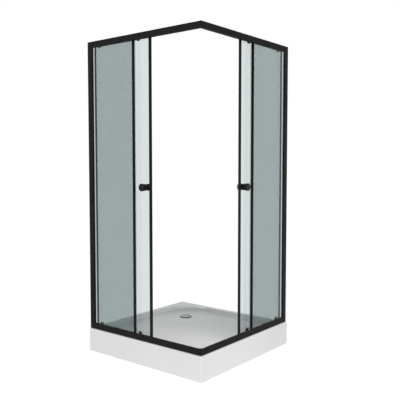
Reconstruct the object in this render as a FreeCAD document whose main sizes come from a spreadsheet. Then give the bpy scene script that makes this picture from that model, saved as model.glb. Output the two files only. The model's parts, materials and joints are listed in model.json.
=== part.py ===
import FreeCAD, Part
import math
import operator
import os
from enum import IntEnum
from types import SimpleNamespace

import Sketcher

# Driving dimensions in millimetres. Heights of the frame count from the tray rim,
# lengths along a rail from the room wall, depths from the outer face of a rail.
SIZES = {
    # the whole enclosure
    "tray_side": 900,
    "tray_height": 141,
    "total_height": 1910,
    "frame_setback": 12,
    "overrun": 20,
    "fit_gap": 0.2,
    "touch_gap": 0.3,
    # rail and upright extrusions
    "rail_height": 35,
    "rail_depth": 25,
    "profile_wall": 2,
    "glass_thickness": 5,
    "gasket_wall": 1.6,
    "groove_depth": 14,
    "glass_bite": 12,
    "rib_width": 2,
    "track_depth": 20,
    "wall_profile_width": 39,
    "wall_hole_radius": 2.6,
    "wall_hole_margin": 170,
    "joiner_leg": 62,
    "connector_leg": 50,
    "connector_rise": 80,
    "connector_width": 12,
    "screw_radius": 1.7,
    "screw_length": 8,
    "screw_head_radius": 3.6,
    "screw_head": 2,
    "recess_reach": 2,
    "recess_half": 0.5,
    "recess_depth": 1.2,
    "screw_setback": 42,
    "connector_screw_reach": 9,
    "connector_screw_rise": 58,
    "upright_screw_reach": 7,
    # fixed panes
    "fixed_glass_width": 370,
    "left_panel_reach": 388.5,
    "right_panel_reach": 398,
    "fixed_edge_width": 9.6,
    "fixed_edge_depth": 14.5,
    "fixed_edge_start": 0.8,
    "edge_seal_root": 4,
    "edge_seal_tip": 1.2,
    "edge_seal_reach": 11.2,
    "edge_seal_inset": 7,
    "filler_wall": 1.5,
    "filler_end": 13,
    # sliding doors
    "slide_gap": 1,
    "lead_wall": 3,
    "lead_width": 13.7,
    "magnet_tip": 0.8,
    "door_width": 481,
    "left_door_reach": 511.5,
    "right_door_reach": 507.4,
    "door_top_gap": 6,
    "door_bottom_gap": 9,
    "rear_seal_wall": 1.4,
    "rear_seal_width": 8,
    # rollers
    "wheel_radius": 12,
    "wheel_groove_radius": 9.5,
    "wheel_width": 9,
    "groove_mouth": 5.4,
    "groove_floor": 3,
    "axle_radius": 3,
    "running_gap": 0.05,
    "upper_axle_drop": 20,
    "lower_axle_rise": 22,
    "front_roller_setback": 116,
    "rear_roller_setback": 33,
    "bolt_head_radius": 5,
    "bolt_head": 2,
    "bush_radius": 8,
    "bush_collar_radius": 5,
    "cap_radius": 16,
    "cap_depth": 10,
    "cap_round": 3,
    "bolt_end": 3,
    "stop_height": 20,
    "stop_length": 5.6,
    # knobs
    "knob_rise": 893,
    "knob_setback": 58,
    "knob_head_radius": 22.3,
    "knob_neck_radius": 17.5,
    "knob_foot_radius": 20,
    "knob_foot": 9,
    "knob_head": 12,
    "knob_neck_slope": 4,
    "knob_length": 33,
    "inner_knob_radius": 20,
    "inner_knob_neck": 8,
    "inner_knob_length": 29.5,
    "knob_round": 2,
    "knob_stud_radius": 4,
    "knob_hole_radius": 6,
    "knob_socket": 10,
    "washer_thickness": 1,
    "washer_radius": 13,
    # tray
    "apron_gap": 0.5,
    "apron_corner": 9,
    "apron_round": 3,
    "apron_thickness": 6,
    "rim_width": 38,
    "basin_depth": 21,
    "basin_slope": 12,
    "basin_corner": 60,
    "room_corner": 232,
    "floor_underside": 104,
    "rim_thickness": 7,
    "drain_setback": 227,
    "drain_fall": 8,
    "fall_radius": 180,
    # drain
    "drain_radius": 45,
    "drain_lip": 2.5,
    "drain_tube_radius": 28,
    "drain_tube_wall": 3,
    "drain_tube_length": 26,
    "drain_ledge": 2,
    "drain_ledge_drop": 12,
    "cover_radius": 37,
    "cover_rise": 1.5,
    "cover_thickness": 2.5,
    "cover_edge": 1.5,
    "cover_slot_width": 9,
    "cover_slot_height": 3.5,
    "drain_gasket": 3,
    "trap_flange_radius": 44,
    "trap_flange": 6,
    "trap_neck": 7,
    "trap_radius": 52,
    "trap_wall": 3,
    "trap_bottom": 18,
    "outlet_radius": 25,
    "outlet_height": 46,
    "outlet_reach": 172,
    "outlet_boss_radius": 29,
    "outlet_boss_reach": 62,
    "outlet_inset": 10,
    # support frame and feet
    "support_inset": 120,
    "support_tube": 25,
    "support_wall": 2,
    "foot_stud_radius": 6,
    "foot_pad_radius": 25,
    "foot_pad_height": 10,
    "foot_pad_edge": 4,
    "foot_socket": 4,
    "foot_nut_radius": 10.5,
    "foot_nut_height": 9,
}
COVER_SLOTS = 6
FULL_TURN = 360


class Axis(IntEnum):
    """A sketch's own axes by their numbers; the level one starts at the origin."""

    LEVEL = -1
    UPRIGHT = -2


class Spot(IntEnum):
    """The numbered points of a line or an arc."""

    START = 1
    END = 2
    MIDDLE = 3


doc = FreeCAD.newDocument("ShowerEnclosure")
sheet = doc.addObject("Spreadsheet::Sheet", "Sizes")
for row, (alias, amount) in enumerate(SIZES.items(), start=1):
    sheet.set("A%d" % row, alias)
    sheet.set("B%d" % row, str(amount))
    sheet.setAlias("B%d" % row, alias)
doc.recompute()


class Size:
    """A length kept as a sheet expression together with its present value."""

    def __init__(self, text, value):
        self.text = text
        self.value = value

    def joined(self, sign, work, other, swap=False):
        """Combine with another size or a plain number."""
        other = other if isinstance(other, Size) else Size(str(other), other)
        first, second = (other, self) if swap else (self, other)
        return Size("(%s %s %s)" % (first.text, sign, second.text), work(first.value, second.value))

    def __add__(self, other):
        return self.joined("+", operator.add, other)

    def __sub__(self, other):
        return self.joined("-", operator.sub, other)

    def __rsub__(self, other):
        return self.joined("-", operator.sub, other, swap=True)

    def __mul__(self, other):
        return self.joined("*", operator.mul, other)

    def __truediv__(self, other):
        return self.joined("/", operator.truediv, other)

    def __neg__(self):
        return Size("(-%s)" % self.text, -self.value)


at = SimpleNamespace(**{alias: Size("Sizes." + alias, amount) for alias, amount in SIZES.items()})

# Values that several pieces share
none = at.profile_wall * 0
half_side = at.tray_side / 2
frame_height = at.total_height - at.tray_height
groove_width = at.glass_thickness + at.gasket_wall * 2
groove_inner = at.profile_wall + groove_width
glazing_inner = groove_inner + at.profile_wall
pane_depth = at.profile_wall + at.gasket_wall
chamber_height = at.rail_height - at.groove_depth - at.profile_wall * 2
insert_start = at.profile_wall + at.fit_gap
insert_width = groove_width - at.fit_gap * 2
insert_end = insert_start + insert_width
insert_height = chamber_height - at.fit_gap * 2
rail_length = at.tray_side - at.frame_setback - at.wall_profile_width
corner_reach = at.tray_side - at.frame_setback
rib_start = at.track_depth - at.rib_width / 2
rib_end = at.track_depth + at.rib_width / 2
upper_rail_base = frame_height - at.rail_height
upper_axle = frame_height - at.upper_axle_drop
lower_axle = at.lower_axle_rise
rib_drop = at.wheel_groove_radius + at.touch_gap
upper_rib = upper_axle - upper_rail_base - rib_drop
lower_rib = lower_axle - rib_drop
pane_bottom = at.rail_height - at.glass_bite
pane_height = upper_rail_base + at.glass_bite - pane_bottom
upright_start = at.rail_height + at.fit_gap
upright_height = upper_rail_base - at.fit_gap - upright_start
lead_start = at.rail_depth + at.slide_gap
lead_depth = at.glass_thickness + at.lead_wall * 2
door_depth = lead_start + at.lead_wall
door_back = door_depth + at.glass_thickness
door_height = frame_height - at.door_top_gap - at.door_bottom_gap
wheel_start = at.track_depth - at.wheel_width / 2
wheel_end = at.track_depth + at.wheel_width / 2
axle_bore = at.axle_radius + at.running_gap
knob_base = door_depth - at.washer_thickness
floor_top = at.tray_height - at.basin_depth
drain_spot = half_side - at.drain_setback
drain_seat = floor_top - at.drain_fall
support_half = half_side - at.support_inset
support_bottom = at.floor_underside - at.support_tube
support_web = at.floor_underside - at.support_wall

pieces = []


def new_body(name):
    """An empty body."""
    return doc.addObject("PartDesign::Body", name)


def put(thing, across, depth, rise):
    """Place a piece by its reach from the room wall, rail depth and height over the rim."""
    thing.setExpression("Placement.Base.x", (across - half_side).text)
    thing.setExpression("Placement.Base.y", (depth + at.frame_setback - half_side).text)
    thing.setExpression("Placement.Base.z", (rise + at.tray_height).text)


def put_centred(thing, across, along, rise):
    """Place a piece from the middle of the footprint on the floor."""
    for axis, length in (("x", across), ("y", along), ("z", rise)):
        if isinstance(length, Size):
            thing.setExpression("Placement.Base." + axis, length.text)


def sketch_on(body, role, lift=None):
    """A sketch on one of the body's own planes, lifted along the plane's normal if asked."""
    sketch = body.newObject("Sketcher::SketchObject", body.Name + "_outline")
    plane = next(part for part in body.Origin.OriginFeatures if part.Role == role)
    sketch.AttachmentSupport = [(plane, "")]
    sketch.MapMode = "FlatFace"
    if lift is not None:
        sketch.setExpression("AttachmentOffset.Base.z", lift.text)
    return sketch


def number(length):
    """The present value of a size, or a plain zero."""
    return length.value if isinstance(length, Size) else length


def bind(sketch, rule, length):
    """Add a rule whose length comes from the sheet."""
    index = sketch.addConstraint(rule)
    sketch.setExpression("Constraints[%d]" % index, length.text)


def pin_axis(sketch, kind, axis, piece, end, length):
    """Fix one coordinate of a sketch point."""
    if not isinstance(length, Size):
        sketch.addConstraint(Sketcher.Constraint("PointOnObject", piece, end, axis))
    elif length.value < 0:
        rule = Sketcher.Constraint(kind, piece, end, Axis.LEVEL, Spot.START, -length.value)
        bind(sketch, rule, -length)
    else:
        rule = Sketcher.Constraint(kind, Axis.LEVEL, Spot.START, piece, end, length.value)
        bind(sketch, rule, length)


def pin(sketch, piece, end, across, up):
    """Fix a sketch point at two sizes from the sketch's origin."""
    pin_axis(sketch, "DistanceX", Axis.UPRIGHT, piece, end, across)
    pin_axis(sketch, "DistanceY", Axis.LEVEL, piece, end, up)


def draw(sketch, corners):
    """A closed outline of straight sides through the corners."""
    spots = [FreeCAD.Vector(number(across), number(up), 0) for across, up in corners]
    sides = [Part.LineSegment(spot, follower) for spot, follower in zip(spots, spots[1:] + spots[:1])]
    lines = sketch.addGeometry(sides, False)
    for line, follower in zip(lines, lines[1:] + lines[:1]):
        sketch.addConstraint(Sketcher.Constraint("Coincident", line, Spot.END, follower, Spot.START))
    for line, (across, up) in zip(lines, corners):
        pin(sketch, line, Spot.START, across, up)


def draw_rectangle(sketch, low_across, low_up, high_across, high_up):
    """A rectangle between two opposite corners."""
    draw(sketch, [(low_across, low_up), (high_across, low_up),
                  (high_across, high_up), (low_across, high_up)])


def draw_circle(sketch, across, up, radius):
    """A circle with its middle fixed from the sketch's origin."""
    middle = FreeCAD.Vector(number(across), number(up), 0)
    ring = sketch.addGeometry(Part.Circle(middle, FreeCAD.Vector(0, 0, 1), radius.value), False)
    bind(sketch, Sketcher.Constraint("Radius", ring, radius.value), radius)
    pin(sketch, ring, Spot.MIDDLE, across, up)


def draw_rounded(sketch, half, radii):
    """A square about the origin with four rounded corners.

    radii run from the corner at -X -Y, then +X -Y, +X +Y and -X +Y.
    """
    reach = half.value
    turns = [(-1, -1), (1, -1), (1, 1), (-1, 1)]
    arcs = []
    ends = []
    for count, ((side_x, side_y), radius) in enumerate(zip(turns, radii)):
        bend = radius.value
        middle = FreeCAD.Vector(side_x * (reach - bend), side_y * (reach - bend), 0)
        first = math.pi + count * math.pi / 2
        circle = Part.Circle(middle, FreeCAD.Vector(0, 0, 1), bend)
        arc = Part.ArcOfCircle(circle, first, first + math.pi / 2)
        arcs.append(sketch.addGeometry(arc, False))
        ends.append((arc.StartPoint, arc.EndPoint))
    lines = []
    for (_, leave), (arrive, _) in zip(ends, ends[1:] + ends[:1]):
        lines.append(sketch.addGeometry(Part.LineSegment(leave, arrive), False))
    for line, arc, follower in zip(lines, arcs, arcs[1:] + arcs[:1]):
        sketch.addConstraint(Sketcher.Constraint("Tangent", arc, Spot.END, line, Spot.START))
        sketch.addConstraint(Sketcher.Constraint("Tangent", line, Spot.END, follower, Spot.START))
    for arc, radius in zip(arcs, radii):
        bind(sketch, Sketcher.Constraint("Radius", arc, radius.value), radius)
    south, east, north, west = lines
    pin_axis(sketch, "DistanceY", Axis.LEVEL, south, Spot.START, -half)
    pin_axis(sketch, "DistanceX", Axis.UPRIGHT, east, Spot.START, half)
    pin_axis(sketch, "DistanceY", Axis.LEVEL, north, Spot.START, half)
    pin_axis(sketch, "DistanceX", Axis.UPRIGHT, west, Spot.START, -half)
    for line in (south, north):
        sketch.addConstraint(Sketcher.Constraint("Horizontal", line))
    for line in (east, west):
        sketch.addConstraint(Sketcher.Constraint("Vertical", line))


def pad(body, sketch, length, backward=False):
    """Raise a sketch to a solid."""
    feature = body.newObject("PartDesign::Pad", body.Name + "_pad")
    feature.Profile = sketch
    feature.Reversed = backward
    feature.setExpression("Length", length.text)
    return feature


def pocket(body, sketch, length, forward=True):
    """Cut a sketch into the body, along its normal when forward."""
    feature = body.newObject("PartDesign::Pocket", body.Name + "_cut")
    feature.Profile = sketch
    feature.Reversed = forward
    feature.setExpression("Length", length.text)
    return feature


def turn(name, corners, kind="PartDesign::Revolution"):
    """A body turned about its own Y axis from corners given as radius and length."""
    body = new_body(name)
    sketch = sketch_on(body, "XY_Plane")
    draw(sketch, corners)
    spin(body, sketch, kind)
    return body


def spin(body, sketch, kind):
    """Turn a sketch about its own upright axis."""
    feature = body.newObject(kind, body.Name + "_turn")
    feature.Profile = sketch
    feature.ReferenceAxis = (sketch, ["V_Axis"])
    feature.Angle = FULL_TURN


def turn_upright(name, corners):
    """A body turned about the vertical from corners given as radius and height."""
    body = new_body(name)
    sketch = sketch_on(body, "XZ_Plane")
    draw(sketch, corners)
    spin(body, sketch, "PartDesign::Revolution")
    return body


def extrude(name, corners, length, role, hollow=None):
    """A straight extrusion with an optional hollow chamber given by two corners."""
    body = new_body(name)
    sketch = sketch_on(body, role)
    draw(sketch, corners)
    if hollow is not None:
        draw_rectangle(sketch, *hollow)
    pad(body, sketch, length)
    return body


def round_edges(body, radius, wanted):
    """Round the edges of the body's tip that the test picks."""
    doc.recompute()
    base = body.Tip
    names = ["Edge%d" % count for count, edge in enumerate(base.Shape.Edges, start=1) if wanted(edge)]
    feature = body.newObject("PartDesign::Fillet", body.Name + "_round")
    feature.Base = (base, names)
    feature.setExpression("Radius", radius.text)


def keep(thing, label):
    """Count an object as a finished piece of the enclosure."""
    thing.Label = label
    pieces.append(thing)


def keep_side(side, thing, label):
    """Keep a piece of the left side, or the mirrored piece of the right side."""
    if not side.mirrored:
        keep(thing, "left_" + label)
        return
    twin = doc.addObject("Part::Mirroring", "right_" + label)
    twin.Source = thing
    twin.Normal = FreeCAD.Vector(1, 1, 0)
    keep(twin, "right_" + label)


def group(name, members):
    """Several separate solids kept as one piece."""
    thing = doc.addObject("Part::Compound", name)
    thing.Links = members
    return thing


def lower_rail_section():
    """Lower rail: glazing groove at the top, hollow chamber below, guide rib on the base web."""
    groove_floor = at.rail_height - at.groove_depth
    return [
        (0, 0), (at.rail_depth, 0), (at.rail_depth, at.profile_wall),
        (rib_end, at.profile_wall), (rib_end, lower_rib), (rib_start, lower_rib),
        (rib_start, at.profile_wall), (glazing_inner, at.profile_wall),
        (glazing_inner, at.rail_height), (groove_inner, at.rail_height),
        (groove_inner, groove_floor), (at.profile_wall, groove_floor),
        (at.profile_wall, at.rail_height), (0, at.rail_height),
    ]


def upper_rail_section():
    """Upper rail: groove below, chamber above it, running rib on a ledge under the top web."""
    web = at.rail_height - at.profile_wall
    return [
        (0, 0), (at.profile_wall, 0), (at.profile_wall, at.groove_depth),
        (groove_inner, at.groove_depth), (groove_inner, 0), (rib_end, 0), (rib_end, upper_rib),
        (rib_start, upper_rib), (rib_start, at.profile_wall), (glazing_inner, at.profile_wall),
        (glazing_inner, web), (at.rail_depth, web), (at.rail_depth, at.rail_height),
        (0, at.rail_height),
    ]


def make_rail(side, label, section, chamber_start, rise):
    """A rail from the wall profile to the mitre at the front corner."""
    chamber_end = chamber_start + chamber_height
    hollow = (at.profile_wall, chamber_start, groove_inner, chamber_end)
    rail = extrude(side.name + "_form_" + label, section, rail_length, "YZ_Plane", hollow)
    mitre = sketch_on(rail, "XY_Plane")
    past = rail_length + at.overrun
    inside = at.rail_depth + at.overrun
    draw(mitre, [(rail_length, 0), (rail_length - groove_inner, groove_inner),
                 (rail_length - at.rail_depth, groove_inner), (rail_length - at.rail_depth, inside),
                 (past, inside), (past, 0)])
    pocket(rail, mitre, at.rail_height + at.overrun)
    holes = sketch_on(rail, "XZ_Plane", -insert_end)
    level = chamber_start + chamber_height / 2
    for reach in (at.connector_screw_reach, rail_length - at.screw_setback):
        draw_circle(holes, reach, level, at.screw_radius + at.fit_gap)
    pocket(rail, holes, at.profile_wall * 2, forward=False)
    put(rail, at.wall_profile_width, none, rise)
    keep_side(side, rail, label)


def make_wall_profile(side):
    """Upright at the room wall: glazing channel and a flange with the wall holes."""
    width = at.wall_profile_width
    wall = at.profile_wall
    section = [(0, 0), (width, 0), (width, wall), (wall, wall), (wall, groove_inner),
               (width, groove_inner), (width, glazing_inner), (wall, glazing_inner),
               (wall, at.rail_depth), (0, at.rail_depth)]
    post = extrude(side.name + "_post", section, frame_height, "XY_Plane")
    holes = sketch_on(post, "YZ_Plane")
    middle = (glazing_inner + at.rail_depth) / 2
    for rise in (at.wall_hole_margin, frame_height / 2, frame_height - at.wall_hole_margin):
        draw_circle(holes, middle, rise, at.wall_hole_radius)
    pocket(post, holes, at.profile_wall * 2)
    screws = sketch_on(post, "XZ_Plane", -insert_end)
    for rise in (at.connector_screw_rise, frame_height - at.connector_screw_rise):
        draw_circle(screws, at.upright_screw_reach, rise, at.screw_radius + at.fit_gap)
    pocket(post, screws, at.profile_wall * 2, forward=False)
    put(post, none, none, none)
    keep_side(side, post, "wall_profile")


def connector(name, flip):
    """Angle piece with one leg in the rail chamber and one in the upright."""
    body = new_body(name)
    sketch = sketch_on(body, "XZ_Plane")
    leg = at.wall_profile_width + at.connector_leg
    corners = [(0, 0), (leg, 0), (leg, insert_height), (at.connector_width, insert_height),
               (at.connector_width, at.connector_rise), (0, at.connector_rise)]
    bores = [(at.wall_profile_width + at.connector_screw_reach - insert_start, insert_height / 2),
             (at.upright_screw_reach - insert_start, at.connector_screw_rise - insert_start)]
    if flip:
        corners = [(across, -up if isinstance(up, Size) else up) for across, up in corners]
        bores = [(across, -up) for across, up in bores]
    draw(sketch, corners)
    for across, up in bores:
        draw_circle(sketch, across, up, at.screw_radius + at.fit_gap)
    pad(body, sketch, insert_width, backward=True)
    rise = frame_height - insert_start if flip else insert_start
    put(body, insert_start, insert_start, rise)
    return body


def make_end_connectors(side):
    """The two connectors between the rails and the wall upright."""
    lower = connector(side.name + "_lower_connector", False)
    upper = connector(side.name + "_upper_connector", True)
    keep_side(side, group(side.name + "_angle_pair", [lower, upper]), "end_connectors")


def make_corner_joiner(label, rise, chamber_start, web_start):
    """Moulded corner: two legs in the rail chambers and a block with a chamfered inner face."""
    body = new_body(label)
    start, stop, leg, depth = insert_start, insert_end, at.joiner_leg, at.rail_depth
    legs = sketch_on(body, "XY_Plane", chamber_start + at.fit_gap)
    draw(legs, [(-start, start), (-start, leg), (-stop, leg), (-stop, stop), (-leg, stop), (-leg, start)])
    pad(body, legs, insert_height)
    for edge, lift, height in ((stop, chamber_start + at.fit_gap, insert_height),
                               (groove_inner, none, at.rail_height)):
        block = sketch_on(body, "XY_Plane", lift)
        draw(block, [(-edge, edge), (-edge, depth), (-glazing_inner, depth),
                     (-depth, glazing_inner), (-depth, edge)])
        pad(body, block, height)
    plate = sketch_on(body, "XY_Plane", web_start)
    draw_rectangle(plate, -depth, groove_inner, -groove_inner, depth)
    pad(body, plate, at.profile_wall)
    level = chamber_start + chamber_height / 2
    near = sketch_on(body, "XZ_Plane", -insert_start)
    draw_circle(near, -at.screw_setback, level, at.screw_radius + at.fit_gap)
    pocket(body, near, at.rail_depth, forward=False)
    far = sketch_on(body, "YZ_Plane", -insert_start)
    draw_circle(far, at.screw_setback, level, at.screw_radius + at.fit_gap)
    pocket(body, far, at.rail_depth, forward=False)
    put(body, corner_reach, none, rise)
    keep(body, label)


def cross_recess(body, lift):
    """Cut a cross for the driver into a screw head."""
    far, near = at.recess_reach, at.recess_half
    sketch = sketch_on(body, "XZ_Plane", -lift)
    draw(sketch, [(-near, -far), (near, -far), (near, -near), (far, -near), (far, near), (near, near),
                  (near, far), (-near, far), (-near, near), (-far, near), (-far, -near), (-near, -near)])
    pocket(body, sketch, at.recess_depth)


def screw(name, across, rise):
    """Pan-headed screw from the inside into a joiner or connector."""
    head = at.screw_length + at.screw_head
    edge = at.screw_head / 2
    body = turn(name, [
        (0, 0), (at.screw_radius, 0), (at.screw_radius, at.screw_length),
        (at.screw_head_radius, at.screw_length), (at.screw_head_radius, head - edge),
        (at.screw_head_radius - edge, head), (0, head)])
    cross_recess(body, head)
    put(body, across, glazing_inner - at.screw_length, rise)
    return body


def make_frame_screws():
    """All screws of the frame, the right ones mirrored from the left ones."""
    lower = at.profile_wall + chamber_height / 2
    upper = frame_height - lower
    front = corner_reach - at.screw_setback
    rear = at.wall_profile_width + at.connector_screw_reach
    spots = []
    for rise in (lower, upper):
        spots += [(front, rise), (rear, rise)]
    for rise in (at.connector_screw_rise, frame_height - at.connector_screw_rise):
        spots.append((at.upright_screw_reach, rise))
    members = []
    for count, (across, rise) in enumerate(spots):
        single = screw("frame_screw_%d" % count, across, rise)
        twin = doc.addObject("Part::Mirroring", "frame_screw_twin_%d" % count)
        twin.Source = single
        twin.Normal = FreeCAD.Vector(1, 1, 0)
        members += [single, twin]
    keep(group("frame_screws", members), "frame_screws")


def pane(name, width, height, holes=()):
    """Upright pane of glass with round holes."""
    body = new_body(name)
    sketch = sketch_on(body, "XZ_Plane")
    draw_rectangle(sketch, 0, 0, width, height)
    for across, up, radius in holes:
        draw_circle(sketch, across, up, radius)
    pad(body, sketch, at.glass_thickness, backward=True)
    return body


def channel_section(width, depth, low, high, wall):
    """Channel that takes the edge of a pane from the side away from its end wall."""
    return [(0, 0), (width, 0), (width, depth), (0, depth), (0, high),
            (width - wall, high), (width - wall, low), (0, low)]


def make_fixed_pane(side):
    """Fixed pane with the profile and the lip on its free edge."""
    glass = pane(side.name + "_fixed_pane", at.fixed_glass_width, pane_height)
    put(glass, side.panel - at.profile_wall - at.fixed_glass_width, pane_depth, pane_bottom)
    keep_side(side, glass, "fixed_glass")
    low = pane_depth - at.fixed_edge_start - at.fit_gap
    high = low + at.glass_thickness + at.fit_gap * 2
    wall = at.profile_wall - at.fit_gap
    hollow = (at.profile_wall, high + at.profile_wall,
              at.fixed_edge_width - at.profile_wall, at.fixed_edge_depth - at.profile_wall)
    section = channel_section(at.fixed_edge_width, at.fixed_edge_depth, low, high, wall)
    edge = extrude(side.name + "_fixed_edge", section, upright_height, "XY_Plane", hollow)
    put(edge, side.panel - at.fixed_edge_width, at.fixed_edge_start, upright_start)
    keep_side(side, edge, "fixed_edge_profile")
    slant = (at.edge_seal_root - at.edge_seal_tip) / 2
    lip = extrude(side.name + "_edge_lip", [
        (0, 0), (at.edge_seal_root, 0), (slant + at.edge_seal_tip, at.edge_seal_reach),
        (slant, at.edge_seal_reach)], upright_height, "XY_Plane")
    put(lip, side.panel - at.edge_seal_inset, at.fixed_edge_start + at.fixed_edge_depth, upright_start)
    keep_side(side, lip, "fixed_edge_seal")


def make_glazing_gasket(side):
    """Channel gaskets in both rails and side strips in the wall upright."""
    seat = at.groove_depth - at.glass_bite
    wall = at.gasket_wall
    run = side.panel - at.fixed_edge_width - at.wall_profile_width
    section = [(0, 0), (groove_width, 0), (groove_width, at.groove_depth),
               (groove_width - wall, at.groove_depth), (groove_width - wall, seat),
               (wall, seat), (wall, at.groove_depth), (0, at.groove_depth)]
    lower = extrude(side.name + "_lower_gasket", section, run, "YZ_Plane")
    put(lower, at.wall_profile_width, at.profile_wall, at.rail_height - at.groove_depth)
    turned = [(across, -up if isinstance(up, Size) else up) for across, up in section]
    upper = extrude(side.name + "_upper_gasket", turned, run, "YZ_Plane")
    put(upper, at.wall_profile_width, at.profile_wall, upper_rail_base + at.groove_depth)
    members = [lower, upper]
    for count, depth in enumerate((at.profile_wall, groove_inner - wall)):
        strip = extrude("%s_strip_%d" % (side.name, count), [
            (0, 0), (at.glass_bite, 0), (at.glass_bite, wall), (0, wall)], upright_height, "XY_Plane")
        put(strip, at.wall_profile_width - at.glass_bite, depth, upright_start)
        members.append(strip)
    keep_side(side, group(side.name + "_gasket", members), "glazing_gasket")


def make_groove_fillers(side):
    """Snap-in strips that close the rail grooves across the doorway."""
    wall = at.filler_wall
    tall = at.groove_depth - at.fit_gap
    run = corner_reach - at.filler_end - side.panel - at.fit_gap
    section = [(0, 0), (wall, 0), (wall, tall - wall), (insert_width - wall, tall - wall),
               (insert_width - wall, 0), (insert_width, 0), (insert_width, tall), (0, tall)]
    lower = extrude(side.name + "_lower_filler", section, run, "YZ_Plane")
    put(lower, side.panel + at.fit_gap, insert_start, at.rail_height - tall)
    turned = [(across, -up if isinstance(up, Size) else up) for across, up in section]
    upper = extrude(side.name + "_upper_filler", turned, run, "YZ_Plane")
    put(upper, side.panel + at.fit_gap, insert_start, upper_rail_base + tall)
    keep_side(side, group(side.name + "_fillers", [lower, upper]), "groove_fillers")


def track_stop(side):
    """Rubber stop that straddles the running rib at the rear end of an upper track."""
    slot_start = rib_start - wheel_start - at.fit_gap
    slot_end = rib_end - wheel_start + at.fit_gap
    rise = upper_rib - at.profile_wall + at.fit_gap
    section = [(0, 0), (slot_start, 0), (slot_start, rise), (slot_end, rise), (slot_end, 0),
               (at.wheel_width, 0), (at.wheel_width, at.stop_height), (0, at.stop_height)]
    body = extrude(side.name + "_track_stop", section, at.stop_length, "YZ_Plane")
    put(body, at.wall_profile_width, wheel_start, upper_rail_base + at.profile_wall)
    return body


def make_track_stops(left):
    """The stops of both upper tracks."""
    single = track_stop(left)
    twin = doc.addObject("Part::Mirroring", "right_track_stop")
    twin.Source = single
    twin.Normal = FreeCAD.Vector(1, 1, 0)
    keep(group("track_stop_pair", [single, twin]), "track_stops")


def roller_spots(side):
    """Name, reach from the wall and height over the rim of the four rollers of a door."""
    front = side.door - at.front_roller_setback
    rear = side.door - at.door_width + at.rear_roller_setback
    return [("upper_front", front, upper_axle), ("upper_rear", rear, upper_axle),
            ("lower_front", front, lower_axle), ("lower_rear", rear, lower_axle)]


def make_door_glass(side):
    """Sliding pane with the holes of its rollers and knobs."""
    start = side.door - at.door_width + at.rear_seal_wall
    stop = side.door - lead_depth - at.profile_wall
    holes = [(across - start, rise - at.door_bottom_gap, at.bush_collar_radius + at.fit_gap)
             for _, across, rise in roller_spots(side)]
    holes.append((side.door - at.knob_setback - start, at.knob_rise - at.door_bottom_gap,
                  at.knob_hole_radius))
    glass = pane(side.name + "_door_pane", stop - start, door_height, holes)
    put(glass, start, door_depth, at.door_bottom_gap)
    keep_side(side, glass, "door_glass")


def make_door_edges(side):
    """Leading profile, closing strip and rear seal of a door."""
    low = at.lead_wall - at.fit_gap
    high = low + at.glass_thickness + at.fit_gap * 2
    wall = at.profile_wall - at.fit_gap
    section = channel_section(at.lead_width, lead_depth, low, high, wall)
    lead = extrude(side.name + "_lead", section, door_height, "XY_Plane")
    put(lead, side.door - lead_depth - at.lead_width, lead_start, at.door_bottom_gap)
    keep_side(side, lead, "door_edge_profile")
    deep = lead_depth - at.magnet_tip
    strip = extrude(side.name + "_magnet", [(0, 0), (lead_depth, 0), (at.magnet_tip, deep), (0, deep)],
                    door_height, "XY_Plane")
    put(strip, side.door - lead_depth, lead_start, at.door_bottom_gap)
    keep_side(side, strip, "door_magnet")
    wall = at.rear_seal_wall
    wide = at.rear_seal_width
    gap = at.glass_thickness
    seal = extrude(side.name + "_rear_seal", [
        (0, 0), (wide, 0), (wide, wall), (wall, wall), (wall, wall + gap), (wide, wall + gap),
        (wide, wall + wall + gap), (0, wall + wall + gap)], door_height, "XY_Plane")
    put(seal, side.door - at.door_width, door_depth - wall, at.door_bottom_gap)
    keep_side(side, seal, "door_rear_seal")


def make_knobs(side):
    """Outer and inner knob on one stud with a washer at each face of the glass."""
    across = side.door - at.knob_setback
    socket = at.knob_stud_radius + at.running_gap
    foot = at.knob_length - at.knob_foot
    outer = turn(side.name + "_knob", [
        (0, 0), (at.knob_head_radius, 0), (at.knob_head_radius, at.knob_head),
        (at.knob_neck_radius, at.knob_head + at.knob_neck_slope),
        (at.knob_neck_radius, foot - at.knob_neck_slope), (at.knob_foot_radius, foot),
        (at.knob_foot_radius, at.knob_length), (socket, at.knob_length),
        (socket, at.knob_length - at.knob_socket), (0, at.knob_length - at.knob_socket)])
    round_edges(outer, at.knob_round, lambda edge: abs(edge.BoundBox.YMax) < at.fit_gap.value
                or abs(edge.BoundBox.YMin - at.knob_head.value) < at.fit_gap.value
                and edge.BoundBox.YLength < at.fit_gap.value)
    put(outer, across, knob_base - at.knob_length, at.knob_rise)
    keep_side(side, outer, "outer_knob")
    inner = turn(side.name + "_inner", [
        (socket, 0), (at.knob_neck_radius, 0), (at.knob_neck_radius, at.inner_knob_neck),
        (at.inner_knob_radius, at.inner_knob_neck + at.knob_neck_slope),
        (at.inner_knob_radius, at.inner_knob_length),
        (0, at.inner_knob_length), (0, at.knob_socket), (socket, at.knob_socket)])
    round_edges(inner, at.knob_round,
                lambda edge: abs(edge.BoundBox.YMin - at.inner_knob_length.value) < at.fit_gap.value)
    put(inner, across, door_back + at.washer_thickness, at.knob_rise)
    keep_side(side, inner, "inner_knob")
    reach = at.knob_socket - at.touch_gap
    length = reach * 2 + at.glass_thickness + at.washer_thickness * 2
    stud = turn(side.name + "_stud", [(0, 0), (at.knob_stud_radius, 0), (at.knob_stud_radius, length),
                                      (0, length)])
    put(stud, across, knob_base - reach, at.knob_rise)
    members = [stud]
    for count, depth in enumerate((knob_base, door_back)):
        ring = turn("%s_washer_%d" % (side.name, count), [
            (socket, 0), (at.washer_radius, 0), (at.washer_radius, at.washer_thickness),
            (socket, at.washer_thickness)])
        put(ring, across, depth, at.knob_rise)
        members.append(ring)
    keep_side(side, group(side.name + "_knob_set", members), "knob_fixings")


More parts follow.
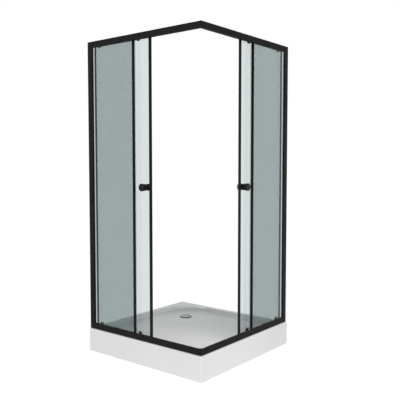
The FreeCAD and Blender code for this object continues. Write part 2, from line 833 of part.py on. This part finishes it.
def wheel(name):
    """Grooved wheel with a bore for its axle."""
    rim = (at.wheel_width - at.groove_mouth) / 2
    foot = (at.wheel_width - at.groove_floor) / 2
    return turn(name, [
        (axle_bore, 0), (at.wheel_radius, 0), (at.wheel_radius, rim), (at.wheel_groove_radius, foot),
        (at.wheel_groove_radius, foot + at.groove_floor),
        (at.wheel_radius, rim + at.groove_mouth), (at.wheel_radius, at.wheel_width),
        (axle_bore, at.wheel_width)])


def make_rollers(side):
    """Wheels, axle bolts, bushes and caps of a door."""
    bolts, bushes, caps = [], [], []
    head_start = wheel_start - at.touch_gap - at.bolt_head
    shank_end = door_back + at.cap_depth - at.bolt_end - head_start
    bush_start = wheel_end + at.touch_gap
    flange = door_depth - bush_start
    collar = flange + at.glass_thickness - at.touch_gap
    for spot, across, rise in roller_spots(side):
        name = side.name + "_" + spot
        runner = wheel(name + "_runner")
        put(runner, across, wheel_start, rise)
        keep_side(side, runner, spot + "_wheel")
        bolt = turn(name + "_bolt", [
            (0, 0), (at.bolt_head_radius, 0), (at.bolt_head_radius, at.bolt_head),
            (at.axle_radius, at.bolt_head), (at.axle_radius, shank_end), (0, shank_end)])
        put(bolt, across, head_start, rise)
        bush = turn(name + "_bush", [
            (axle_bore, 0), (at.bush_radius, 0), (at.bush_radius, flange),
            (at.bush_collar_radius, flange), (at.bush_collar_radius, collar), (axle_bore, collar)])
        put(bush, across, bush_start, rise)
        blind = at.cap_depth - at.bolt_end + at.touch_gap
        cap = turn(name + "_cap", [
            (axle_bore, 0), (at.cap_radius, 0), (at.cap_radius, at.cap_depth - at.cap_round),
            (at.cap_radius - at.cap_round, at.cap_depth), (0, at.cap_depth), (0, blind),
            (axle_bore, blind)])
        put(cap, across, door_back, rise)
        bolts.append(bolt)
        bushes.append(bush)
        caps.append(cap)
    keep_side(side, group(side.name + "_bolts", bolts), "roller_bolts")
    keep_side(side, group(side.name + "_bushes", bushes), "roller_bushes")
    keep_side(side, group(side.name + "_caps", caps), "roller_caps")


def make_tray():
    """Tray with rim, sloping basin wall, fall to the drain and apron on the two open sides."""
    tray = new_body("tray")
    base = sketch_on(tray, "XY_Plane", at.apron_gap)
    draw_rounded(base, half_side, [at.apron_corner] * 4)
    pad(tray, base, at.tray_height - at.apron_gap)
    rim_half = half_side - at.rim_width
    floor_half = rim_half - at.basin_slope
    outlines = []
    for half, lift, extra in ((rim_half, at.tray_height, none),
                              (floor_half, floor_top, at.basin_slope)):
        sketch = sketch_on(tray, "XY_Plane", lift)
        corner = at.basin_corner - extra
        draw_rounded(sketch, half, [corner, corner, corner, at.room_corner - extra])
        outlines.append(sketch)
    basin = tray.newObject("PartDesign::SubtractiveLoft", "basin")
    basin.Profile = outlines[0]
    basin.Sections = [outlines[1]]
    basin.Ruled = True
    fall = sketch_on(tray, "XZ_Plane")
    fall.setExpression("AttachmentOffset.Base.x", (-drain_spot).text)
    fall.setExpression("AttachmentOffset.Base.z", (-drain_spot).text)
    seat = drain_seat - at.drain_lip
    lip = at.drain_radius + at.fit_gap
    draw(fall, [(0, seat), (lip, seat), (lip, drain_seat), (at.fall_radius, floor_top),
                (0, floor_top)])
    spin(tray, fall, "PartDesign::Groove")
    drain = sketch_on(tray, "XY_Plane", at.apron_gap)
    draw_circle(drain, -drain_spot, drain_spot, at.drain_tube_radius + at.fit_gap)
    pocket(tray, drain, at.tray_height)
    below = sketch_on(tray, "XY_Plane")
    skin = half_side - at.apron_thickness
    past = half_side + at.overrun
    draw_rectangle(below, -past, -skin, skin, past)
    pocket(tray, below, at.floor_underside)
    ring = sketch_on(tray, "XY_Plane", at.floor_underside)
    draw_rectangle(ring, -skin, -skin, skin, skin)
    corner = at.basin_corner + at.apron_thickness
    draw_rounded(ring, rim_half + at.apron_thickness, [corner] * 3 + [at.room_corner + at.apron_thickness])
    pocket(tray, ring, at.tray_height - at.rim_thickness - at.floor_underside)
    top = at.tray_height.value
    reach = half_side.value
    round_edges(tray, at.apron_round, lambda edge: edge.BoundBox.ZMin > top - at.fit_gap.value
                and max(abs(edge.CenterOfMass.x), abs(edge.CenterOfMass.y)) > reach - at.apron_corner.value)
    keep(tray, "shower_tray")


def make_drain():
    """Waste fitting: flange, slotted cover, gasket and trap with a side outlet."""
    seat = drain_seat - at.drain_lip
    tube_in = at.drain_tube_radius - at.drain_tube_wall
    ledge_in = tube_in - at.drain_ledge
    low = at.drain_tube_length
    ledge = at.drain_ledge_drop
    flange = turn_upright("drain_ring", [
        (tube_in, at.drain_lip), (at.drain_radius, at.drain_lip), (at.drain_radius, 0),
        (at.drain_tube_radius, 0), (at.drain_tube_radius, -low), (ledge_in, -low),
        (ledge_in, -ledge), (tube_in, -ledge)])
    put_centred(flange, -drain_spot, drain_spot, seat)
    keep(flange, "drain_flange")
    skirt_out = tube_in - at.fit_gap
    skirt_in = skirt_out - at.drain_ledge
    dome = ledge + at.drain_lip + at.cover_slot_height
    crown = dome + at.cover_thickness + at.cover_rise
    cover = turn_upright("drain_cap", [
        (skirt_in, 0), (skirt_out, 0), (skirt_out, dome), (at.cover_radius, dome),
        (at.cover_radius, dome + at.cover_edge), (skirt_in, crown - at.cover_edge), (0, crown),
        (0, crown - at.cover_thickness), (skirt_in, dome)])
    slot = sketch_on(cover, "YZ_Plane")
    draw_rectangle(slot, -at.cover_slot_width / 2, ledge + at.drain_lip,
                   at.cover_slot_width / 2, dome)
    opening = pocket(cover, slot, at.cover_radius)
    pattern = cover.newObject("PartDesign::PolarPattern", "cover_slots")
    pattern.Originals = [opening]
    pattern.Axis = (slot, ["V_Axis"])
    pattern.Angle = FULL_TURN
    pattern.Occurrences = COVER_SLOTS
    cover.Tip = pattern
    put_centred(cover, -drain_spot, drain_spot, seat - ledge)
    keep(cover, "drain_cover")
    bore = at.drain_tube_radius + at.fit_gap
    gasket = turn_upright("drain_seal", [
        (bore, 0), (at.trap_flange_radius, 0), (at.trap_flange_radius, at.drain_gasket),
        (bore, at.drain_gasket)])
    put_centred(gasket, -drain_spot, drain_spot, at.floor_underside - at.drain_gasket)
    keep(gasket, "drain_gasket")
    make_trap(bore)


def make_trap(bore):
    """Trap cup with a flanged neck and an outlet towards the room wall."""
    wall = at.trap_wall
    top = at.floor_underside - at.drain_gasket - at.trap_bottom
    shoulder = top - at.trap_flange - at.trap_neck
    neck = bore + wall
    trap = turn_upright("trap", [
        (0, 0), (at.trap_radius, 0), (at.trap_radius, shoulder), (neck, shoulder),
        (neck, top - at.trap_flange), (at.trap_flange_radius, top - at.trap_flange),
        (at.trap_flange_radius, top), (bore, top), (bore, shoulder - wall),
        (at.trap_radius - wall, shoulder - wall), (at.trap_radius - wall, wall), (0, wall)])
    axis = at.outlet_height - at.trap_bottom
    start = at.trap_radius - at.outlet_inset
    for radius, reach in ((at.outlet_boss_radius, at.outlet_boss_reach),
                          (at.outlet_radius, at.outlet_reach)):
        pipe = sketch_on(trap, "YZ_Plane", -start)
        draw_circle(pipe, 0, axis, radius)
        pad(trap, pipe, reach - start, backward=True)
    hole = sketch_on(trap, "YZ_Plane", -(start - wall * 2))
    draw_circle(hole, 0, axis, at.outlet_radius - wall)
    pocket(trap, hole, at.outlet_reach, forward=False)
    put_centred(trap, -drain_spot, drain_spot, at.trap_bottom)
    keep(trap, "drain_trap")


def make_support():
    """Frame of open channels under the tray: a square with a middle bar."""
    frame = new_body("support")
    outer = support_half + at.support_tube / 2
    inner = support_half - at.support_tube / 2
    bar = at.support_tube / 2
    plan = sketch_on(frame, "XY_Plane")
    draw_rectangle(plan, -outer, -outer, outer, outer)
    draw_rectangle(plan, -inner, -inner, inner, -bar)
    draw_rectangle(plan, -inner, bar, inner, inner)
    pad(frame, plan, at.support_tube)
    wall = at.support_wall
    hollow = sketch_on(frame, "XY_Plane")
    draw_rectangle(hollow, wall - outer, wall - outer, outer - wall, outer - wall)
    draw_rectangle(hollow, -inner - wall, -inner - wall, inner + wall, wall - bar)
    draw_rectangle(hollow, -inner - wall, bar - wall, inner + wall, inner + wall)
    pocket(frame, hollow, at.support_tube - wall)
    put_centred(frame, 0, 0, support_bottom)
    keep(frame, "tray_support_frame")


def make_feet():
    """Levelling feet under the corners and the middle of the support frame."""
    far = support_half
    spots = [(-far, -far), (far, -far), (far, far), (-far, far), (0, 0)]
    studs, pads, nuts = [], [], []
    socket = at.foot_stud_radius + at.fit_gap
    seat = at.foot_pad_height - at.foot_socket
    for count, (across, along) in enumerate(spots):
        stud = turn_upright("foot_stud_%d" % count, [
            (0, 0), (at.foot_stud_radius, 0), (at.foot_stud_radius, support_web - seat),
            (0, support_web - seat)])
        put_centred(stud, across, along, seat)
        foot = turn_upright("foot_pad_%d" % count, [
            (0, 0), (at.foot_pad_radius, 0), (at.foot_pad_radius, at.foot_pad_edge),
            (socket + at.foot_socket, at.foot_pad_height), (socket, at.foot_pad_height),
            (socket, seat), (0, seat)])
        put_centred(foot, across, along, 0)
        nut = new_body("foot_nut_%d" % count)
        plan = sketch_on(nut, "XY_Plane")
        hexagon(plan, at.foot_nut_radius)
        draw_circle(plan, 0, 0, socket)
        pad(nut, plan, at.foot_nut_height)
        put_centred(nut, across, along, support_web - at.foot_nut_height)
        studs.append(stud)
        pads.append(foot)
        nuts.append(nut)
    keep(group("stud_set", studs), "foot_studs")
    keep(group("pad_set", pads), "foot_pads")
    keep(group("nut_set", nuts), "foot_lock_nuts")


def hexagon(sketch, radius):
    """A regular hexagon about the sketch's origin."""
    corners = []
    for count in range(6):
        angle = math.radians(count * 60)
        across, up = round(math.cos(angle), 9), round(math.sin(angle), 9)
        corners.append((radius * across, radius * up if up else 0))
    draw(sketch, corners)


left_side = SimpleNamespace(name="left", mirrored=False, panel=at.left_panel_reach, door=at.left_door_reach)
right_side = SimpleNamespace(name="right", mirrored=True, panel=at.right_panel_reach,
                             door=at.right_door_reach)

make_tray()
make_drain()
make_support()
make_feet()
for side in (left_side, right_side):
    make_rail(side, "lower_rail", lower_rail_section(), at.profile_wall, none)
    make_rail(side, "upper_rail", upper_rail_section(), at.groove_depth + at.profile_wall, upper_rail_base)
    make_wall_profile(side)
    make_end_connectors(side)
    make_fixed_pane(side)
    make_glazing_gasket(side)
    make_groove_fillers(side)
    make_door_glass(side)
    make_door_edges(side)
    make_knobs(side)
    make_rollers(side)
make_corner_joiner("lower_corner_joiner", none, at.profile_wall, none)
make_corner_joiner("upper_corner_joiner", upper_rail_base, at.groove_depth + at.profile_wall,
                   at.rail_height - at.profile_wall)
make_frame_screws()
make_track_stops(left_side)

doc.recompute()
for thing in doc.Objects:
    if "Invalid" in thing.State or "Error" in thing.State:
        raise RuntimeError("%s did not build: %s" % (thing.Label, thing.State))
os.makedirs("parts", exist_ok=True)
for thing in pieces:
    shape = thing.Shape
    if shape.isNull() or not shape.isValid() or not shape.Solids:
        raise RuntimeError("%s has no valid solid" % thing.Label)
    shape.exportStep("parts/%s.step" % thing.Label)
print("%d pieces written" % len(pieces))
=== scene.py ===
import json
import math

import bpy
import numpy as np
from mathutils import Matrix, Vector

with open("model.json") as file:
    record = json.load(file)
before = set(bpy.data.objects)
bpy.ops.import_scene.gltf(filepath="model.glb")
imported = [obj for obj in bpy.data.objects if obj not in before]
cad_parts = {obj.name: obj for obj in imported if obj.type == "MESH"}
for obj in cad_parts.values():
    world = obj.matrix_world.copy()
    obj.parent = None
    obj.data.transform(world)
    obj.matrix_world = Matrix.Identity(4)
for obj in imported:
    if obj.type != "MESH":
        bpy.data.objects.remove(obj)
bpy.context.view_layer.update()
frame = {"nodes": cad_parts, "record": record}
nodes = frame["nodes"]
scene = bpy.context.scene

# Most of a noise lies between these two values.
NOISE_LOW = 0.3
NOISE_HIGH = 0.7

# The sockets of a Mix node that carry colours have no names of their own.
MIX_FACTOR = 0
MIX_FIRST_COLOUR = 6
MIX_SECOND_COLOUR = 7
MIX_COLOUR_RESULT = 2


class Value:
    """A shader value that takes part in sums: each operator adds one Math node."""

    def __init__(self, finish, socket):
        self.finish = finish
        self.socket = socket

    def work(self, operation, *values):
        """Add a Math node that works on the values in the order given."""
        node = self.finish.node("ShaderNodeMath", {"operation": operation}, dict(enumerate(values)))
        return Value(self.finish, node.outputs[0])

    def __add__(self, other):
        return self.work("ADD", self, other)

    __radd__ = __add__

    def __mul__(self, other):
        return self.work("MULTIPLY", self, other)

    __rmul__ = __mul__

    def __sub__(self, other):
        return self.work("SUBTRACT", self, other)

    def __rsub__(self, other):
        return self.work("SUBTRACT", other, self)

    def __pow__(self, other):
        return self.work("POWER", self, other)

    def __abs__(self):
        return self.work("ABSOLUTE", self)

    def largest(self, other):
        return self.work("MAXIMUM", self, other)

    def above(self, edge):
        return self.work("GREATER_THAN", self, edge)

    def ramped(self, start=0.0, end=1.0, low=NOISE_LOW, high=NOISE_HIGH):
        """start below low, end above high, and a smooth step between them."""
        node = self.finish.node(
            "ShaderNodeMapRange", {"interpolation_type": "SMOOTHSTEP"},
            {"Value": self, "From Min": low, "From Max": high, "To Min": start, "To Max": end})
        return Value(self.finish, node.outputs[0])


class Finish:
    """A material or world under construction."""

    def __init__(self, owner):
        owner.use_nodes = True
        self.owner = owner
        self.tree = owner.node_tree
        self.tree.nodes.clear()

    def node(self, kind, settings=None, sockets=None):
        """Add a node: settings first, then the values or links of its sockets."""
        made = self.tree.nodes.new(kind)
        for name, setting in (settings or {}).items():
            setattr(made, name, setting)
        for name, value in (sockets or {}).items():
            self.feed(made.inputs[name], value)
        return made

    def feed(self, socket, value):
        """Link a value or output to a socket, or set the socket's own number."""
        if isinstance(value, Value):
            self.tree.links.new(value.socket, socket)
        elif isinstance(value, bpy.types.NodeSocket):
            self.tree.links.new(value, socket)
        else:
            socket.default_value = value

    def place(self):
        """Object coordinates: every piece sits at the origin, so they are the shared frame's."""
        return self.node("ShaderNodeTexCoord").outputs["Object"]

    def stretched(self, scale):
        """Object coordinates scaled along each axis."""
        made = self.node("ShaderNodeMapping", sockets={"Vector": self.place(), "Scale": scale})
        return made.outputs[0]

    def noise(self, scale, detail=3.0, roughness=0.55, vector=None):
        """Fractal noise from 0 to 1 over the object coordinates, in cells per metre."""
        made = self.node("ShaderNodeTexNoise", sockets={
            "Vector": vector or self.place(), "Scale": scale, "Detail": detail, "Roughness": roughness})
        return Value(self, made.outputs[0])

    def mixed(self, factor, first, second):
        """A colour between two colours."""
        made = self.node("ShaderNodeMix", {"data_type": "RGBA"}, {
            MIX_FACTOR: factor, MIX_FIRST_COLOUR: first, MIX_SECOND_COLOUR: second})
        return made.outputs[MIX_COLOUR_RESULT]

    def bump(self, height, strength, distance):
        """A normal raised by a height value; distance is in metres."""
        made = self.node("ShaderNodeBump", sockets={
            "Height": height, "Strength": strength, "Distance": distance})
        return made.outputs[0]

    def principled(self, **sockets):
        """The main shader, with sockets named by words joined with underscores."""
        return self.node("ShaderNodeBsdfPrincipled", sockets={
            name.replace("_", " "): value for name, value in sockets.items()})

    def layered(self, factor, under, over):
        """A shader between two shaders: under at factor 0, over at factor 1."""
        return self.node("ShaderNodeMixShader", sockets={
            0: factor, 1: under.outputs[0], 2: over.outputs[0]})

    def finish(self, shader):
        """Connect the shader to the output and give back the material or world."""
        is_world = isinstance(self.owner, bpy.types.World)
        kind = "ShaderNodeOutputWorld" if is_world else "ShaderNodeOutputMaterial"
        self.node(kind, sockets={"Surface": shader.outputs[0]})
        return self.owner


def colour(red, green=None, blue=None):
    """A linear colour with full alpha; one number gives a grey."""
    return (red, red if green is None else green, red if blue is None else blue, 1.0)


def new_finish(name):
    return Finish(bpy.data.materials.new(name))


def powder_coat(name, dark, light, rough, shine):
    """Satin powder coat: fine orange peel, a slow drift of tone and slightly uneven gloss."""
    paint = new_finish(name)
    drift = paint.noise(9.0, detail=2.0)
    peel = paint.noise(1900.0, detail=2.0)
    gloss = paint.noise(55.0, detail=4.0)
    return paint.finish(paint.principled(
        Base_Color=paint.mixed(drift.ramped(), dark, light),
        Roughness=gloss.ramped(rough - 0.05, rough + 0.06),
        Specular_IOR_Level=shine,
        Normal=paint.bump(peel, strength=0.18, distance=0.0002)))


def moulded_plastic(name, dark, light, rough, shine=0.3, grain=1300.0, depth=0.25):
    """Moulded plastic: a fine spark-eroded grain and a little drift of tone."""
    plastic = new_finish(name)
    drift = plastic.noise(24.0)
    spark = plastic.noise(grain, roughness=0.6)
    return plastic.finish(plastic.principled(
        Base_Color=plastic.mixed(drift.ramped(), dark, light),
        Roughness=spark.ramped(rough - 0.04, rough + 0.06),
        Specular_IOR_Level=shine,
        Normal=plastic.bump(spark, strength=depth, distance=0.00015)))


def seal_rubber(name, deep=colour(0.006), bloomed=colour(0.01)):
    """Extruded rubber: drawn lines along its length, dull, with a faint bloom."""
    rubber = new_finish(name)
    drawn = rubber.noise(1.0, detail=2.0, roughness=0.5, vector=rubber.stretched((900.0, 900.0, 12.0)))
    bloom = rubber.noise(30.0, detail=4.0)
    return rubber.finish(rubber.principled(
        Base_Color=rubber.mixed(bloom.ramped(low=0.45, high=0.75), deep, bloomed),
        Roughness=bloom.ramped(0.58, 0.7),
        Specular_IOR_Level=0.12,
        Normal=rubber.bump(drawn, strength=0.2, distance=0.0003)))


# Share of the light that a face of glass mirrors where it is looked at straight.
STRAIGHT_MIRROR = 0.025
# A face whose normal has less than this along the pane's own axis is a narrow side.
NARROW_SIDE = 0.5


def tinted_pane(name, tint, edge, across):
    """Tinted float glass.

    Each face lets the tint through and mirrors s + (1 - s) * (1 - cosine) ** 5 of the light,
    where s is the share mirrored straight on. The narrow sides, where the normal leaves the
    across axis, show the deep edge colour.
    """
    glass = new_finish(name)
    facing = Value(glass, glass.node("ShaderNodeLayerWeight").outputs["Facing"])
    mirrored = facing ** 5.0 * (1.0 - STRAIGHT_MIRROR) + STRAIGHT_MIRROR
    film = glass.noise(5.0, detail=4.0, roughness=0.6)
    normal = glass.node("ShaderNodeNewGeometry").outputs["True Normal"]
    along = glass.node("ShaderNodeSeparateXYZ", sockets={0: normal}).outputs[across]
    side = 1.0 - abs(Value(glass, along)).above(NARROW_SIDE)
    clear = glass.node("ShaderNodeBsdfTransparent", sockets={"Color": tint})
    sheen = glass.node("ShaderNodeBsdfGlossy", sockets={
        "Color": colour(1.0), "Roughness": film.ramped(0.0, 0.015, low=0.35, high=0.75)})
    rim = glass.principled(Base_Color=edge, Roughness=0.12, Specular_IOR_Level=0.5)
    return glass.finish(glass.layered(side, glass.layered(mirrored, clear, sheen), rim))


def clear_strip():
    """Clear soft strip: mostly see-through, milky where it is drawn thick, with a soft gloss."""
    strip = new_finish("clear_seal_strip")
    drawn = strip.noise(1.0, detail=2.0, roughness=0.5, vector=strip.stretched((700.0, 700.0, 9.0)))
    clear = strip.node("ShaderNodeBsdfTransparent", sockets={"Color": colour(0.93, 0.95, 0.95)})
    milk = strip.principled(
        Base_Color=colour(0.62, 0.65, 0.65), Roughness=0.32, Specular_IOR_Level=0.4,
        Normal=strip.bump(drawn, strength=0.15, distance=0.0003))
    return strip.finish(strip.layered(drawn.ramped(0.14, 0.24), clear, milk))


def sanitary_acrylic():
    """Gloss white acrylic: a very slow drift of tone, soft waviness and a clear gloss."""
    acrylic = new_finish("sanitary_acrylic")
    drift = acrylic.noise(3.0, detail=2.0)
    wave = acrylic.noise(14.0, detail=2.0)
    wiped = acrylic.noise(120.0, detail=4.0, roughness=0.65)
    return acrylic.finish(acrylic.principled(
        Base_Color=acrylic.mixed(
            drift.ramped(), colour(0.785, 0.79, 0.788), colour(0.81, 0.812, 0.81)),
        Roughness=wiped.ramped(0.2, 0.27, low=0.35, high=0.75),
        Specular_IOR_Level=0.35,
        Normal=acrylic.bump(wave, strength=0.06, distance=0.004)))


def bright_chrome():
    """Chrome with a faint polish haze."""
    chrome = new_finish("bright_chrome")
    haze = chrome.noise(90.0, detail=4.0, roughness=0.6)
    return chrome.finish(chrome.principled(
        Base_Color=chrome.mixed(haze.ramped(), colour(0.42, 0.43, 0.43), colour(0.48, 0.49, 0.49)),
        Metallic=1.0,
        Roughness=haze.ramped(0.2, 0.28),
        Specular_Tint=colour(0.55)))


def zinc_plate():
    """Zinc plated steel: a fine spangle in tone and gloss."""
    zinc = new_finish("zinc_plate")
    cells = zinc.node("ShaderNodeTexVoronoi", sockets={"Vector": zinc.place(), "Scale": 260.0})
    spangle = Value(zinc, cells.outputs["Distance"])
    cloud = zinc.noise(40.0, detail=4.0)
    return zinc.finish(zinc.principled(
        Base_Color=zinc.mixed(spangle, colour(0.5, 0.51, 0.53), colour(0.62, 0.63, 0.65)),
        Metallic=1.0,
        Roughness=cloud.ramped(0.3, 0.45),
        Normal=zinc.bump(cloud, strength=0.15, distance=0.0004)))


# One finish for each material slot, and one for each pane.
finishes = {
    "tray_white": sanitary_acrylic(),
    "frame_black": powder_coat(
        "black_powder_coat", colour(0.016), colour(0.02), rough=0.42, shine=0.025),
    "black_plastic": moulded_plastic(
        "black_moulding", colour(0.014), colour(0.018), rough=0.5, shine=0.03),
    "cap_black": moulded_plastic(
        "black_cap_moulding", colour(0.006), colour(0.009), rough=0.34, shine=0.15,
        grain=700.0, depth=0.1),
    "wheel_plastic": moulded_plastic(
        "acetal", colour(0.68, 0.68, 0.65), colour(0.74, 0.74, 0.71), rough=0.38),
    "trap_plastic": moulded_plastic("polypropylene", colour(0.7), colour(0.76), rough=0.42),
    "black_rubber": seal_rubber("seal_rubber"),
    "magnet_black": seal_rubber("magnet_strip_rubber"),
    "clear_seal": clear_strip(),
    "smoke_seal": seal_rubber("smoke_seal_strip", colour(0.075), colour(0.11)),
    "knob_black": powder_coat(
        "knob_black_lacquer", colour(0.0055), colour(0.008), rough=0.3, shine=0.16),
    "black_steel": powder_coat(
        "blackened_steel", colour(0.008), colour(0.012), rough=0.4, shine=0.25),
    "zinc_steel": zinc_plate(),
    "chrome": bright_chrome(),
}
FIXED_TINT = colour(0.67, 0.711, 0.711)
DOOR_TINT = colour(0.836, 0.862, 0.862)
EDGE_TINT = colour(0.03, 0.05, 0.047)
for side, across in (("left", "Y"), ("right", "X")):
    for pane, tint in (("fixed_glass", FIXED_TINT), ("door_glass", DOOR_TINT)):
        name = side + "_" + pane
        finishes[name] = tinted_pane(name + "_tint", tint, EDGE_TINT, across)

# Width in metres of the broken edge on cut, moulded and turned pieces.
SOFT_EDGES = {
    "frame_black": 0.0005, "black_plastic": 0.0006, "knob_black": 0.0005, "cap_black": 0.0004,
    "chrome": 0.001}
# Corners of triangles that lie closer than this, in metres, are one corner.
JOINING_GAP = 0.00001
# Edges that turn by more than this, in degrees, are broken.
SHARP_TURN = 50.0
EDGE_STEPS = 2


def soften_edges(piece, width):
    """Break the sharp edges: join the loose triangles, then a bevel in a few steps."""
    weld = piece.modifiers.new("joined", "WELD")
    weld.merge_threshold = JOINING_GAP
    bevel = piece.modifiers.new("broken_edges", "BEVEL")
    bevel.width = width
    bevel.segments = EDGE_STEPS
    bevel.limit_method = "ANGLE"
    bevel.angle_limit = math.radians(SHARP_TURN)


for part in frame["record"]["subparts"]:
    name = part["node"]
    slot = part["material_slot"]
    piece = nodes[name]
    piece.data.materials.clear()
    piece.data.materials.append(finishes.get(name) or finishes[slot])
    if slot in SOFT_EDGES:
        soften_edges(piece, SOFT_EDGES[slot])

# Camera: place, heading and tilt follow the photograph's own perspective.
CAMERA_PLACE = (2.34403, -2.83829, 1.16898)
CAMERA_HEADING = 38.573
CAMERA_DIP = 3.54
CAMERA_LENS = 52.489
FILM_WIDTH = 36.0
camera = bpy.data.objects.new("camera", bpy.data.cameras.new("camera"))
camera.location = CAMERA_PLACE
camera.rotation_euler = (math.radians(90.0 - CAMERA_DIP), 0.0, math.radians(CAMERA_HEADING))
camera.data.sensor_width = FILM_WIDTH
camera.data.lens = CAMERA_LENS
scene.collection.objects.link(camera)
scene.camera = camera

# Floor: half its side and its depth under the feet in metres, and its grid points along a side.
FLOOR_REACH = 24.0
FLOOR_DROP = 0.0005
FLOOR_POINTS = 3
# Tone of the floor for light that falls on it, and what is seen of it instead.
FLOOR_TONE = colour(0.5)
FLOOR_GLOW = 1.09
GLOW_SHARE = 0.9


def floor_sheet():
    """A level square, (u, v) -> (reach u, reach v, -drop) with u and v from -1 to 1."""
    ticks = np.linspace(-1.0, 1.0, FLOOR_POINTS)
    u, v = np.meshgrid(ticks, ticks)
    spots = np.stack([FLOOR_REACH * u, FLOOR_REACH * v, np.full_like(u, -FLOOR_DROP)], axis=-1)
    count = np.arange(u.size).reshape(u.shape)
    faces = np.stack([count[:-1, :-1], count[:-1, 1:], count[1:, 1:], count[1:, :-1]], axis=-1)
    mesh = bpy.data.meshes.new("floor")
    mesh.from_pydata(spots.reshape(-1, 3).tolist(), [], faces.reshape(-1, 4).tolist())
    made = bpy.data.objects.new("floor", mesh)
    scene.collection.objects.link(made)
    return made


def seen_ray(finish):
    """1 for rays from the camera, mirrors and glass, 0 for rays that gather light."""
    path = finish.node("ShaderNodeLightPath")
    words = ("Is Camera Ray", "Is Glossy Ray", "Is Transmission Ray")
    camera_ray, glossy, through = (Value(finish, path.outputs[word]) for word in words)
    return camera_ray.largest(glossy).largest(through)


def white_floor():
    """White where it is looked at, keeping a faint share of the object's shadow."""
    paper = new_finish("white_floor")
    matt = paper.node("ShaderNodeBsdfDiffuse", sockets={"Color": FLOOR_TONE})
    glow = paper.node("ShaderNodeEmission", sockets={"Color": colour(1.0), "Strength": FLOOR_GLOW})
    return paper.finish(paper.layered(seen_ray(paper) * GLOW_SHARE, matt, glow))


floor_sheet().data.materials.append(white_floor())

# World: white where it is looked at, and this strength as light on the object.
SKY = 0.25
world = bpy.data.worlds.new("studio")
scene.world = world
studio = Finish(world)
strength = seen_ray(studio) * (1.0 - SKY) + SKY
studio.finish(studio.node("ShaderNodeBackground", sockets={"Color": colour(1.0), "Strength": strength}))


def place_lamp(name, lamp, power):
    """Place a lamp that lights the object, but is neither seen nor mirrored in glass or metal."""
    lamp.energy = power
    made = bpy.data.objects.new(name, lamp)
    made.visible_camera = False
    made.visible_glossy = False
    scene.collection.objects.link(made)
    return made


def soft_sun(name, heading, height, breadth, power):
    """A soft sun from a heading and height, all in degrees; heading 0 comes from -Y, 90 from +X."""
    lamp = bpy.data.lights.new(name, "SUN")
    lamp.angle = math.radians(breadth)
    made = place_lamp(name, lamp, power)
    made.rotation_euler = (math.radians(90.0 - height), 0.0, math.radians(heading))


def soft_box(name, spot, aim, side, spread, power):
    """A square soft box at a spot, turned towards its aim, with a spread in degrees."""
    lamp = bpy.data.lights.new(name, "AREA")
    lamp.shape = "SQUARE"
    lamp.size = side
    lamp.spread = math.radians(spread)
    made = place_lamp(name, lamp, power)
    made.location = spot
    made.rotation_euler = (Vector(aim) - Vector(spot)).to_track_quat("-Z", "Y").to_euler()


soft_sun("low_left_lamp", heading=-17.0, height=0.5, breadth=1.0, power=1.43)
soft_sun("low_right_lamp", heading=95.0, height=0.5, breadth=1.0, power=0.8)
soft_sun("left_fill", heading=0.0, height=15.0, breadth=20.0, power=0.51)
soft_sun("right_fill", heading=100.0, height=45.0, breadth=40.0, power=0.85)
soft_box(
    "right_soft_box", spot=(1.3, -0.42, 1.5), aim=(0.25, -0.25, 0.12), side=0.9, spread=120.0,
    power=4.25)

scene.view_settings.view_transform = "Standard"
